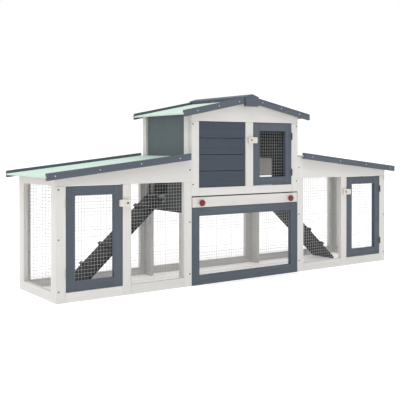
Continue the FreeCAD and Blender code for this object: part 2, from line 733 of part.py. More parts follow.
def build_roofs():
    """Roof sheets, fascias, ridge cap and ridge plates."""
    edge = "fascia_face - fascia_thick + groove"
    sheet_y = (f"-({edge})", edge)
    below = ("fascia_lip", "fascia_lip + sheet")
    start = "side_out + roof_gap"
    pair("run_roof_sheet", sloping_strip(wing_top, start, "wing_tip", *below, sheet_y))
    pair("run_roof_fascias", *both_ends(fascia(wing_top, start, "wing_tip")))
    pair("house_roof_sheet", sloping_strip(gable_top, "joint", "gable_tip", *below, sheet_y))
    front = both_sides(fascia(gable_top, "ridge_half + joint", "gable_tip"))
    node("house_front_fascias", *front)
    node("house_rear_fascias", *(mirror(piece, Vector(0, 1, 0)) for piece in front))
    base = "ridge_low"
    sheet_top = f"{gable_top('0')} - fascia_lip - {base}"
    sheet_side = f"{gable_top('ridge_half')} - fascia_lip - {base}"
    shoulder, peak = f"ridge_shoulder - {base}", f"ridge_peak - {base}"
    width = "2 * ridge_half"
    cap = [("0", sheet_side), ("ridge_half", sheet_top), (width, sheet_side), (width, shoulder),
           ("ridge_half", peak), ("0", shoulder)]
    node("ridge_cap", panel(cap, sheet_y, "-ridge_half", base))
    plate = [("0", "0"), (width, "0"), (width, shoulder), ("ridge_half", peak), ("0", shoulder)]
    plate_y = ("-ridge_face", f"-({edge}) - joint")
    node("ridge_plates", *both_ends(panel(plate, plate_y, "-ridge_half", base)))


# ---------------------------------------------------------------- fasteners
def build_fasteners():
    """Screw heads on the frames and nail heads on the fascias, front and rear."""
    joints = ("run_start + 10", "door_out + 31")
    heads = []
    for height in (514, 284, 55):
        heads.append((joints[0], height))
    for height in (447, 250, 46.5):
        heads.append((joints[1], height))
    for height in (717, 449):
        heads.append(("house_half - 7", height))
    screws = []
    for x, height in heads:
        screws += both_sides(rod((x, "-face", height), "screw_r", "screw_head", "-Y"))
    rear_heads = [("house_half + 5", height) for height in (717, 449, 284, 55)]
    rear_heads += [("door_out + 31", height) for height in (447, 250, 46.5)]
    for x, height in rear_heads:
        screws += both_sides(rod((x, "face", height), "screw_r", "screw_head", "Y"))
    node("frame_screws", *screws)
    nails = []
    for index in range(4):
        x = f"wing_tip - 35 - {index} * 195"
        nails.append((x, f"{wing_top(x)} - fascia_deep / 2"))
    for x in ("ridge_half + 31", "ridge_half + 149", "ridge_half + 267"):
        nails.append((x, f"{gable_top(x)} - fascia_deep / 2"))
    solids = []
    for x, height in nails:
        head = rod((x, "-fascia_face", height), "nail_r", "nail_head", "-Y")
        rear = mirror(head, Vector(0, 1, 0))
        solids += both_sides(head) + both_sides(rear)
    node("fascia_nails", *solids)


def check_document():
    """Stop on any object that failed, and on any sub-part without a sound shape."""
    doc.recompute()
    for item in doc.Objects:
        if "Invalid" in item.State or "Error" in item.State:
            raise RuntimeError(f"{item.Label} failed: {item.State}")
    for item in nodes:
        if item.Shape.isNull() or not item.Shape.isValid() or not item.Shape.Solids:
            raise RuntimeError(f"{item.Label} has no sound shape")


build_run_frames()
build_doors()
build_house_sides()
build_house_front()
build_house_rear()
build_tray()
build_ramps()
build_roofs()
build_fasteners()
check_document()
os.makedirs("parts", exist_ok=True)
for item in nodes:
    item.Shape.exportStep(f"parts/{item.Label}.step")
print(len(nodes), "sub-parts written")
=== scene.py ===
"""Looks of a rabbit hutch: painted boards, felt roofs, galvanised mesh, ramps, tray and hardware.

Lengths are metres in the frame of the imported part: the origin is the middle of the footprint on the
ground, +X is the hutch's right, -Y is out of its front and +Z is up.
"""

import json
import logging
import math
import random
from dataclasses import dataclass, field, fields
from enum import Enum

import bmesh
import bpy
from mathutils import Matrix, Vector

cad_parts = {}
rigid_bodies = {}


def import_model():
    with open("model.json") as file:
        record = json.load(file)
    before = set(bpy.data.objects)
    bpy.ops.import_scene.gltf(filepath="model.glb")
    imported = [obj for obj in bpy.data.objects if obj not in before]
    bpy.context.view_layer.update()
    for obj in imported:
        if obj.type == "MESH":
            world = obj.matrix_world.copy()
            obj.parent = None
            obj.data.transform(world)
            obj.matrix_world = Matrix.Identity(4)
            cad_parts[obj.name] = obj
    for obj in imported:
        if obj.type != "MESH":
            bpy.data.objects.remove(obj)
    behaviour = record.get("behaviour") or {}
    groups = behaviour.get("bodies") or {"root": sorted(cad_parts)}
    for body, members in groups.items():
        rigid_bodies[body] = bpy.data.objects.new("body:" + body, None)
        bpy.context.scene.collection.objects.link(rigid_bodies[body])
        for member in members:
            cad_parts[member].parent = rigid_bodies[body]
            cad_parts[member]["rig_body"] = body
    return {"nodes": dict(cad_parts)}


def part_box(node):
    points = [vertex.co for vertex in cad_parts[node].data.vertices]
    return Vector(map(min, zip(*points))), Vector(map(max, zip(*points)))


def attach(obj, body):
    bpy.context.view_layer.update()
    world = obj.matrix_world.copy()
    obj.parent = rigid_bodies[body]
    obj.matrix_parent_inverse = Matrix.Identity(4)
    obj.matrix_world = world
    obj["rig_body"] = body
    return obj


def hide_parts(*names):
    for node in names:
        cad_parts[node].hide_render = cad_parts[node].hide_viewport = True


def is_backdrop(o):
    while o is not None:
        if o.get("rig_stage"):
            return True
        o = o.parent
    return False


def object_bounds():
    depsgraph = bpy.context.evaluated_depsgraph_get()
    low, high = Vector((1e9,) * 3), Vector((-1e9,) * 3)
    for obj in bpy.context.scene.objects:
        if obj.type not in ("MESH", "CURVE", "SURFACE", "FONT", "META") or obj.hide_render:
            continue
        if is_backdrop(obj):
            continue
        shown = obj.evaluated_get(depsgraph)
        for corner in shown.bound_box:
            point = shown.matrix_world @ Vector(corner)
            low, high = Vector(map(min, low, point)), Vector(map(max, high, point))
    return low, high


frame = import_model()

LOG = logging.getLogger("hutch")
SIDES = ("left", "right")

Colour = tuple[float, float, float, float]
Socket = bpy.types.NodeSocket
Feed = Socket | float | tuple[float, ...]
Triple = tuple[float, float, float]
Finish = bpy.types.Material
Piece = bpy.types.Object
Shape = bmesh.types.BMesh
FACING_FRONT = Matrix.Rotation(math.pi / 2, 4, "X")


class Slot(Enum):
    """The part's material slots."""

    WHITE = "white_paint"
    GREY = "grey_paint"
    ROOF = "mint_roof"
    WIRE = "wire_mesh"
    STEEL = "zinc_steel"
    WOOD = "bare_wood"
    KNOB = "red_knob"
    TRAY = "tray_plastic"
    RAMP = "dark_wood"


class Plane(Enum):
    """How a flat mesh panel stands."""

    ACROSS = "faces along Y"
    ENDWISE = "faces along X"


def shade(red: float, green: float, blue: float) -> Colour:
    """A colour in screen values from 0 to 255, as the linear colour that a shader takes."""
    parts = [c / 255 for c in (red, green, blue)]
    return tuple(c / 12.92 if c <= 0.04045 else ((c + 0.055) / 1.055) ** 2.4 for c in parts) + (1.0,)


# ---------------------------------------------------------------- node trees
class Nodes:
    """Adds nodes to one tree and joins them."""

    def __init__(self, tree: bpy.types.NodeTree) -> None:
        """Keeps the tree that the nodes go in."""
        self.tree = tree

    def add(
        self, kind: str, inputs: dict[str | int, Feed] | None = None, **settings: object
    ) -> bpy.types.Node:
        """Adds a node.

        Args:
            kind: the node's type.
            inputs: input name or number to a plain value, or to the output that feeds it.
            settings: the node's own properties.

        Returns:
            The new node.
        """
        made = self.tree.nodes.new(kind)
        for key, value in settings.items():
            setattr(made, key, value)
        self.give(made, inputs or {})
        return made

    def give(self, node: bpy.types.Node, inputs: dict[str | int, Feed]) -> None:
        """Sets a node's inputs.

        Args:
            node: the node.
            inputs: input name or number to a plain value, or to the output that feeds it.
        """
        for key, value in inputs.items():
            if isinstance(value, Socket):
                self.tree.links.new(value, node.inputs[key])
            else:
                node.inputs[key].default_value = value

    def math(self, way: str, first: Feed, second: Feed = 0.0, clamp: bool = False) -> Socket:
        """One sum on two numbers or outputs."""
        made = self.add("ShaderNodeMath", {0: first, 1: second}, operation=way, use_clamp=clamp)
        return made.outputs[0]

    def vector(self, way: str, first: Feed, second: Feed, output: str | int = 0) -> Socket:
        """One sum on two vectors, or on a vector and its scale."""
        inputs = {0: first, "Scale" if way == "SCALE" else 1: second}
        return self.add("ShaderNodeVectorMath", inputs, operation=way).outputs[output]

    def span(self, value: Feed, low: float, high: float, start: float, end: float) -> Socket:
        """A value from low to high turned into one from start to end, and held there outside."""
        inputs = {"Value": value, 1: low, 2: high, 3: start, 4: end}
        return self.add("ShaderNodeMapRange", inputs).outputs[0]

    def mix(self, share: Feed, first: Feed, second: Feed) -> Socket:
        """Two colours mixed by a share."""
        return self.add("ShaderNodeMix", {0: share, 6: first, 7: second}, data_type="RGBA").outputs[2]

    def noise(
        self, place: Feed, stretch: Triple, detail: float = 3.0, rough: float = 0.55,
        bend: float = 0.0,
    ) -> Socket:
        """Noise over coordinates that are stretched first.

        Args:
            place: coordinates in metres.
            stretch: how many waves of noise go in a metre each way.
            detail: octaves of finer noise.
            rough: how strong the finer octaves are.
            bend: how much the noise is distorted.

        Returns:
            The noise's height output.
        """
        spread = self.add("ShaderNodeMapping", {"Vector": place, "Scale": stretch}).outputs[0]
        inputs = {"Vector": spread, "Scale": 1.0, "Detail": detail, "Roughness": rough, "Distortion": bend}
        return self.add("ShaderNodeTexNoise", inputs).outputs[0]

    def edges(self, width: float) -> Socket:
        """How close a point is to a corner of its piece.

        Args:
            width: how far in from the corner it reaches, in metres.

        Returns:
            The closeness, from 0 to 1.
        """
        rounded = self.add("ShaderNodeBevel", {"Radius": width}, samples=3).outputs[0]
        true = self.add("ShaderNodeNewGeometry").outputs["Normal"]
        return self.span(self.vector("DOT_PRODUCT", rounded, true, "Value"), 0.99, 0.80, 0.0, 1.0)

    def bump(self, height: Feed, depth: float, strength: float, onto: Socket | None = None) -> Socket:
        """Relief of a height, on top of any other relief.

        Args:
            height: the height, from 0 to 1.
            depth: what a height of 1 stands for, in metres.
            strength: how strongly it shows, from 0 to 1.
            onto: the relief under it.

        Returns:
            The normal that shows it.
        """
        inputs = {"Height": height, "Distance": depth, "Strength": strength}
        if onto is not None:
            inputs["Normal"] = onto
        return self.add("ShaderNodeBump", inputs).outputs[0]


def new_material(name: str) -> tuple[Finish, Nodes, bpy.types.Node]:
    """A material with only its shader and output.

    Args:
        name: the finish's name.

    Returns:
        The material, its nodes and its shader.
    """
    material = bpy.data.materials.new(name)
    material.use_nodes = True
    material.node_tree.nodes.clear()
    nodes = Nodes(material.node_tree)
    shader = nodes.add("ShaderNodeBsdfPrincipled")
    nodes.add("ShaderNodeOutputMaterial", {"Surface": shader.outputs[0]})
    return material, nodes, shader


# ---------------------------------------------------------------- finishes
@dataclass(frozen=True)
class Timber:
    """Planed softwood, bare or under paint, with grain that follows each board."""

    name: str
    light: Colour
    dark: Colour
    knot: Colour
    worn: Colour
    roughness: float = 0.58
    relief: float = 0.35
    streaks: float = 0.5
    wear: float = 0.4
    knots: float = 0.5
    # painted shade: below this height, in metres, the colour is darkened for the shade that a run's roof
    # casts
    dark_below: float = 0.0
    dark_share: float = 0.62
    # the colour of that painted shade
    stain: Colour = shade(36, 36, 34)

    def build(self) -> Finish:
        """Makes the material.

        Returns:
            The material, which reads the boards' own "grain" and "tone" attributes.
        """
        material, nodes, shader = new_material(self.name)
        grain = nodes.add("ShaderNodeAttribute", attribute_name="grain").outputs["Vector"]
        tone = nodes.add("ShaderNodeAttribute", attribute_name="tone").outputs["Fac"]
        fibre = nodes.noise(grain, (7.0, 260.0, 260.0), 4.0, 0.6)
        figure = nodes.noise(grain, (1.6, 34.0, 34.0), 3.0, 0.5, 0.6)
        brushed = nodes.noise(grain, (14.0, 900.0, 900.0), 2.0, 0.5)
        cloud = nodes.noise(grain, (3.0, 11.0, 11.0), 3.0)
        knot = self.knot_mask(nodes, grain)
        rub = nodes.math("MULTIPLY", nodes.edges(0.0035), nodes.span(cloud, 0.35, 0.7, 0.1, 1.0))
        streak = nodes.math("MULTIPLY", nodes.span(figure, 0.42, 0.66, 0.0, 1.0), self.streaks)
        streak = nodes.math("ADD", streak, nodes.span(fibre, 0.40, 0.75, 0.0, self.streaks * 0.6), True)
        colour = nodes.mix(streak, self.light, self.dark)
        colour = nodes.mix(nodes.math("MULTIPLY", tone, 0.35), colour, self.dark)
        colour = nodes.mix(nodes.span(cloud, 0.35, 0.75, 0.0, 0.22), colour, self.dark)
        colour = nodes.mix(nodes.math("MULTIPLY", knot, self.knots), colour, self.knot)
        colour = nodes.mix(nodes.math("MULTIPLY", rub, self.wear), colour, self.worn)
        # painted shade under the runs' roofs
        if self.dark_below:
            colour = self.darkened(nodes, colour)
        rough = nodes.span(fibre, 0.3, 0.7, self.roughness - 0.07, self.roughness + 0.09)
        rough = nodes.math("ADD", rough, nodes.math("MULTIPLY", rub, 0.1))
        raised = nodes.bump(figure, 0.0006, self.relief)
        raised = nodes.bump(fibre, 0.0003, self.relief, raised)
        raised = nodes.bump(brushed, 0.0001, self.relief * 0.8, raised)
        raised = nodes.bump(knot, 0.0004, self.relief, raised)
        nodes.give(shader, {"Base Color": colour, "Roughness": rough, "Normal": raised})
        nodes.give(shader, {"Specular IOR Level": 0.25})
        return material

    def darkened(self, nodes: Nodes, colour: Socket) -> Socket:
        """Paints shade on what stands under a run's roof: below a height the colour is darkened, as a painted
        shadow.

        Args:
            nodes: the material's nodes.
            colour: the colour above it.

        Returns:
            The colour with its painted shade.
        """
        place = nodes.add("ShaderNodeTexCoord").outputs["Object"]
        height = nodes.add("ShaderNodeSeparateXYZ", {0: place}).outputs["Z"]
        share = nodes.span(height, self.dark_below - 0.004, self.dark_below, self.dark_share, 0.0)
        return nodes.mix(share, colour, self.stain)

    def knot_mask(self, nodes: Nodes, grain: Socket) -> Socket:
        """Sets out the knots.

        Args:
            nodes: the material's nodes.
            grain: the boards' grain coordinates.

        Returns:
            Where knots show, from 0 to 1.
        """
        place = nodes.add("ShaderNodeMapping", {"Vector": grain, "Scale": (5.0, 13.0, 13.0)}).outputs[0]
        cells = nodes.add("ShaderNodeTexVoronoi", {"Vector": place, "Scale": 1.0}).outputs["Distance"]
        return nodes.span(cells, 0.055, 0.12, 1.0, 0.0)


@dataclass(frozen=True)
class Felt:
    """Mineral roofing felt, with fine granules in a matt sheet."""

    name: str
    light: Colour
    dark: Colour
    granule: float = 1100.0

    def build(self) -> Finish:
        """Makes the material.

        Returns:
            The material, on object coordinates.
        """
        material, nodes, shader = new_material(self.name)
        place = nodes.add("ShaderNodeTexCoord").outputs["Object"]
        grit = nodes.add("ShaderNodeTexVoronoi", {"Vector": place, "Scale": self.granule})
        fine = nodes.noise(place, (520.0,) * 3, 4.0, 0.7)
        patch = nodes.noise(place, (5.0, 9.0, 9.0), 4.0, 0.6)
        speck = nodes.span(grit.outputs["Distance"], 0.2, 0.75, 0.0, 0.35)
        colour = nodes.mix(speck, self.light, self.dark)
        colour = nodes.mix(nodes.span(patch, 0.35, 0.72, 0.0, 0.4), colour, self.dark)
        colour = nodes.mix(nodes.math("MULTIPLY", nodes.edges(0.004), 0.25), colour, self.dark)
        rough = nodes.span(fine, 0.3, 0.7, 0.78, 0.95)
        relief = nodes.bump(grit.outputs["Distance"], 0.0004, 0.5)
        relief = nodes.bump(fine, 0.0004, 0.4, relief)
        relief = nodes.bump(patch, 0.003, 0.25, relief)
        nodes.give(shader, {"Base Color": colour, "Roughness": rough, "Normal": relief})
        nodes.give(shader, {"Specular IOR Level": 0.25})
        return material


@dataclass(frozen=True)
class Metal:
    """Zinc-coated steel, with spangle, small scratches and dull patches."""

    name: str
    light: Colour
    dark: Colour
    roughness: float = 0.4
    metallic: float = 0.9
    spangle: float = 160.0

    def build(self) -> Finish:
        """Makes the material.

        Returns:
            The material, on object coordinates.
        """
        material, nodes, shader = new_material(self.name)
        place = nodes.add("ShaderNodeTexCoord").outputs["Object"]
        flake = nodes.add("ShaderNodeTexVoronoi", {"Vector": place, "Scale": self.spangle}).outputs["Color"]
        dull = nodes.noise(place, (60.0,) * 3, 4.0, 0.6)
        scratch = nodes.noise(place, (900.0, 900.0, 120.0), 3.0, 0.6)
        tint = nodes.math("MULTIPLY", flake, 0.4)
        tint = nodes.math("ADD", tint, nodes.span(dull, 0.35, 0.7, 0.0, 0.6), True)
        colour = nodes.mix(tint, self.light, self.dark)
        rough = nodes.span(dull, 0.3, 0.7, self.roughness - 0.1, self.roughness + 0.15)
        relief = nodes.bump(scratch, 0.0001, 0.3)
        nodes.give(shader, {"Base Color": colour, "Roughness": rough, "Normal": relief})
        nodes.give(shader, {"Metallic": self.metallic})
        return material


@dataclass(frozen=True)
class Gloss:
    """Lacquer or moulded plastic, with a faint skin texture and a clear top."""

    name: str
    light: Colour
    dark: Colour
    roughness: float = 0.3
    coat: float = 0.4
    skin: float = 700.0
    depth: float = 0.00015

    def build(self) -> Finish:
        """Makes the material.

        Returns:
            The material, on object coordinates.
        """
        material, nodes, shader = new_material(self.name)
        place = nodes.add("ShaderNodeTexCoord").outputs["Object"]
        skin = nodes.noise(place, (self.skin,) * 3, 3.0, 0.5)
        cloud = nodes.noise(place, (26.0,) * 3, 3.0, 0.5)
        colour = nodes.mix(nodes.span(cloud, 0.35, 0.7, 0.0, 0.6), self.light, self.dark)
        colour = nodes.mix(nodes.math("MULTIPLY", nodes.edges(0.0025), 0.3), colour, self.light)
        rough = nodes.span(cloud, 0.3, 0.7, self.roughness - 0.05, self.roughness + 0.1)
        relief = nodes.bump(skin, self.depth, 0.4)
        nodes.give(shader, {"Base Color": colour, "Roughness": rough, "Normal": relief})
        nodes.give(shader, {"Coat Weight": self.coat, "Coat Roughness": 0.12})
        return material


@dataclass(frozen=True)
class Palette:
    """The hutch's finishes."""

    white: Timber = Timber(
        "white_painted_wood",
        shade(220, 219, 217), shade(203, 200, 196), shade(203, 194, 176), shade(222, 212, 192),
        wear=0.3, knots=0.3, streaks=0.32,
    )
    grey: Timber = Timber(
        "grey_painted_wood", shade(92, 99, 108), shade(73, 81, 91), shade(62, 67, 74), shade(140, 142, 142),
        wear=0.25, knots=0.4, streaks=0.5, relief=0.45,
    )
    slats: Timber = Timber(
        "grey_painted_slats", shade(69, 77, 88), shade(58, 66, 76), shade(54, 60, 68), shade(124, 128, 132),
        wear=0.2, knots=0.3, streaks=0.35, relief=0.4,
    )
    # the side panels carry painted shade below the runs' roof height
    panel: Timber = Timber(
        "grey_painted_panel", shade(98, 108, 112), shade(84, 94, 99), shade(84, 92, 97), shade(150, 152, 150),
        wear=0.15, knots=0.3, streaks=0.25, relief=0.3, dark_below=0.566,
    )
    # painted shade: a dark colour on the house's inward faces, standing in for the shade inside the closed
    # room
    inside: Timber = Timber(
        "dark_room_lining", shade(58, 60, 62), shade(46, 48, 50), shade(40, 40, 40), shade(74, 74, 74),
        wear=0.1, knots=0.3, streaks=0.4, relief=0.3,
    )
    ramp: Timber = Timber(
        "dark_stained_wood", shade(47, 47, 49), shade(33, 33, 35), shade(26, 26, 27), shade(92, 88, 84),
        wear=0.4, knots=0.6, streaks=0.7, roughness=0.6, relief=0.6,
    )
    bare: Timber = Timber(
        "natural_wood",
        shade(222, 218, 212), shade(208, 201, 192), shade(176, 156, 134), shade(228, 225, 220),
        wear=0.4, knots=0.3, streaks=0.6, roughness=0.58, relief=0.5,
    )
    under: Timber = Timber(
        "roof_boarding", shade(146, 128, 104), shade(122, 104, 80), shade(112, 84, 58), shade(196, 180, 154),
        wear=0.2, knots=0.6, streaks=0.7, roughness=0.65, relief=0.5,
    )
    felt: Felt = Felt("mint_roof_felt", shade(206, 226, 216), shade(182, 206, 196))
    wire: Metal = Metal("galvanised_wire", shade(198, 200, 200), shade(172, 174, 176), 0.5, 0.15)
    steel: Metal = Metal("zinc_plated_steel", shade(190, 190, 190), shade(140, 140, 143), 0.36)
    hinge: Metal = Metal("dark_hinge_steel", shade(112, 116, 122), shade(78, 82, 88), 0.42, 0.6)
    screw: Metal = Metal("dark_screw_steel", shade(120, 118, 116), shade(70, 69, 70), 0.45)
    nail: Metal = Metal("bright_nail_heads", shade(225, 226, 226), shade(180, 182, 184), 0.4, 0.6)
    knob: Gloss = Gloss("red_lacquer", shade(124, 12, 20), shade(94, 7, 13), 0.36, 0.2)
    tray: Gloss = Gloss("grey_tray_plastic", shade(176, 178, 178), shade(150, 153, 155), 0.45, 0.0, 420.0)

    def build(self) -> dict[str, Finish]:
        """Every finish's material by its field's name."""
        return {item.name: getattr(self, item.name).build() for item in fields(self)}


# ---------------------------------------------------------------- making pieces
def islands_of(shape: Shape) -> list[list[bmesh.types.BMVert]]:
    """Finds the separate solids of a mesh.

    Args:
        shape: the mesh.

    Returns:
        Each solid, as its vertices.
    """
    left, found = set(shape.verts), []
    for first in shape.verts:
        if first not in left:
            continue
        left.discard(first)
        todo, island = [first], []
        while todo:
            vert = todo.pop()
            island.append(vert)
            for edge in vert.link_edges:
                other = edge.other_vert(vert)
                if other in left:
                    left.discard(other)
                    todo.append(other)
        found.append(island)
    return found


def limits(points: list[Vector]) -> tuple[Vector, Vector]:
    """The lowest and highest corner round some points."""
    return tuple(Vector([pick(p[i] for p in points) for i in range(3)]) for pick in (min, max))


def body_of(node: str) -> str:
    """The body that a node of the part moves with."""
    return frame["nodes"][node]["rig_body"]


def solid_copy(*nodes: str) -> Shape:
    """Takes a copy of some nodes, with their triangles joined into whole faces.

    Args:
        nodes: the part's nodes.

    Returns:
        One shape with all of them.
    """
    shape = bmesh.new()
    for node in nodes:
        shape.from_mesh(frame["nodes"][node].data)
    bmesh.ops.remove_doubles(shape, verts=shape.verts, dist=1e-5)
    bmesh.ops.dissolve_limit(shape, angle_limit=math.radians(1), verts=shape.verts, edges=shape.edges)
    return shape


def write_grain(shape: Shape, chance: random.Random) -> None:
    """Gives each board its own grain coordinates, along, across and through it, and its own tone.

    Args:
        shape: boards, each a separate solid.
        chance: gives the boards their offsets and tones.
    """
    grain = shape.verts.layers.float_vector.new("grain")
    tone = shape.verts.layers.float.new("tone")
    for island in islands_of(shape):
        longest = max((e for v in island for e in v.link_edges), key=lambda e: e.calc_length())
        along = (longest.verts[1].co - longest.verts[0].co).normalized()
        low, high = limits([v.co for v in island])
        thin = min(range(3), key=lambda i: high[i] - low[i] + (1.0 if abs(along[i]) > 0.8 else 0.0))
        axis = Vector([float(i == thin) for i in range(3)])
        across = axis.cross(along).normalized()
        through = along.cross(across)
        middle = (low + high) / 2
        shift = Vector([chance.uniform(-9, 9) for _ in range(3)])
        own_tone = chance.random()
        for vert in island:
            local = vert.co - middle
            vert[grain] = Vector([local.dot(along), local.dot(across), local.dot(through)]) + shift
            vert[tone] = own_tone


def ease_edges(shape: Shape, radius: float, steps: int, crease: float) -> None:
    """Rounds the corners of every board a little, and shades the rounding smooth.

    Args:
        shape: the boards.
        radius: how far the rounding reaches from a corner.
        steps: faces across it.
        crease: the least angle of a corner that is rounded.
    """
    sharp = [e for e in shape.edges if len(e.link_faces) == 2 and e.calc_face_angle(0.0) > crease]
    made = bmesh.ops.bevel(
        shape, geom=sharp, offset=radius, segments=steps, profile=0.5, affect="EDGES", clamp_overlap=True
    )
    for face in made["faces"]:
        face.smooth = True


def put_in_scene(mesh: bpy.types.Mesh, name: str) -> Piece:
    """Makes an object of a mesh and links it to the scene.

    Args:
        mesh: its mesh.
        name: its name.

    Returns:
        The object.
    """
    piece = bpy.data.objects.new(name, mesh)
    bpy.context.scene.collection.objects.link(piece)
    return piece


def to_object(shape: Shape, name: str, *finishes: Finish) -> Piece:
    """Turns a shape into an object in the scene.

    Args:
        shape: the shape, which is used up.
        name: the object's name.
        finishes: its materials.

    Returns:
        The object.
    """
    mesh = bpy.data.meshes.new(name)
    shape.to_mesh(mesh)
    shape.free()
    for finish in finishes:
        mesh.materials.append(finish)
    return put_in_scene(mesh, name)


def hand_over(piece: Piece, nodes: tuple[str, ...], body: str = "") -> Piece:
    """Puts a finished piece in the place of its nodes.

    Args:
        piece: the piece, in its place.
        nodes: the part's nodes that it stands for; none for an added detail.
        body: the body it moves with, where it stands for no node.

    Returns:
        The same piece.
    """
    if nodes:
        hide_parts(*nodes)
    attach(piece, body or body_of(nodes[0]))
    LOG.info("%s: %d faces", piece.name, len(piece.data.polygons))
    return piece


# ---------------------------------------------------------------- what repeats
def new_tree(name: str, sockets: dict[str, str]) -> tuple[bpy.types.NodeTree, Nodes, bpy.types.Node]:
    """A Geometry Nodes tree with its inputs.

    Args:
        name: the tree's name.
        sockets: input name to socket type.

    Returns:
        The tree, its nodes and its group input.
    """
    tree = bpy.data.node_groups.new(name, "GeometryNodeTree")
    tree.interface.new_socket("Geometry", in_out="INPUT", socket_type="NodeSocketGeometry")
    for label, kind in sockets.items():
        tree.interface.new_socket(label, in_out="INPUT", socket_type=kind)
    tree.interface.new_socket("Geometry", in_out="OUTPUT", socket_type="NodeSocketGeometry")
    nodes = Nodes(tree)
    return tree, nodes, nodes.add("NodeGroupInput")


def close_tree(nodes: Nodes, shape: Socket, finish: Socket) -> None:
    """Ends a tree with real geometry in its finish.

    Args:
        nodes: the tree's nodes.
        shape: the geometry.
        finish: the material.
    """
    real = nodes.add("GeometryNodeRealizeInstances", {"Geometry": shape}).outputs[0]
    dressed = nodes.add("GeometryNodeSetMaterial", {"Geometry": real, "Material": finish}).outputs[0]
    nodes.add("NodeGroupOutput", {0: dressed})


def grow(tree: bpy.types.NodeTree, start: bpy.types.Mesh, sizes: dict[str, object]) -> bpy.types.Mesh:
    """Runs a tree on a start mesh and keeps the result as a plain mesh.

    Args:
        tree: the Geometry Nodes tree.
        start: the mesh that it works on.
        sizes: input name to value.

    Returns:
        The grown mesh.
    """
    bed = bpy.data.objects.new(f"{tree.name}_bed", start)
    modifier = bed.modifiers.new(tree.name, "NODES")
    modifier.node_group = tree
    keys = {item.name: item.identifier for item in tree.interface.items_tree if item.in_out == "INPUT"}
    for label, value in sizes.items():
        modifier[keys[label]] = value
    bpy.context.scene.collection.objects.link(bed)
    graph = bpy.context.evaluated_depsgraph_get()
    made = bpy.data.meshes.new_from_object(bed.evaluated_get(graph), depsgraph=graph)
    bed.modifiers.remove(modifier)
    bpy.data.objects.remove(bed)
    return made


@dataclass(frozen=True)
class Spot:
    """Where a small fitting sits."""

    at: Vector
    facing: Vector
    lie: Vector
    size: float


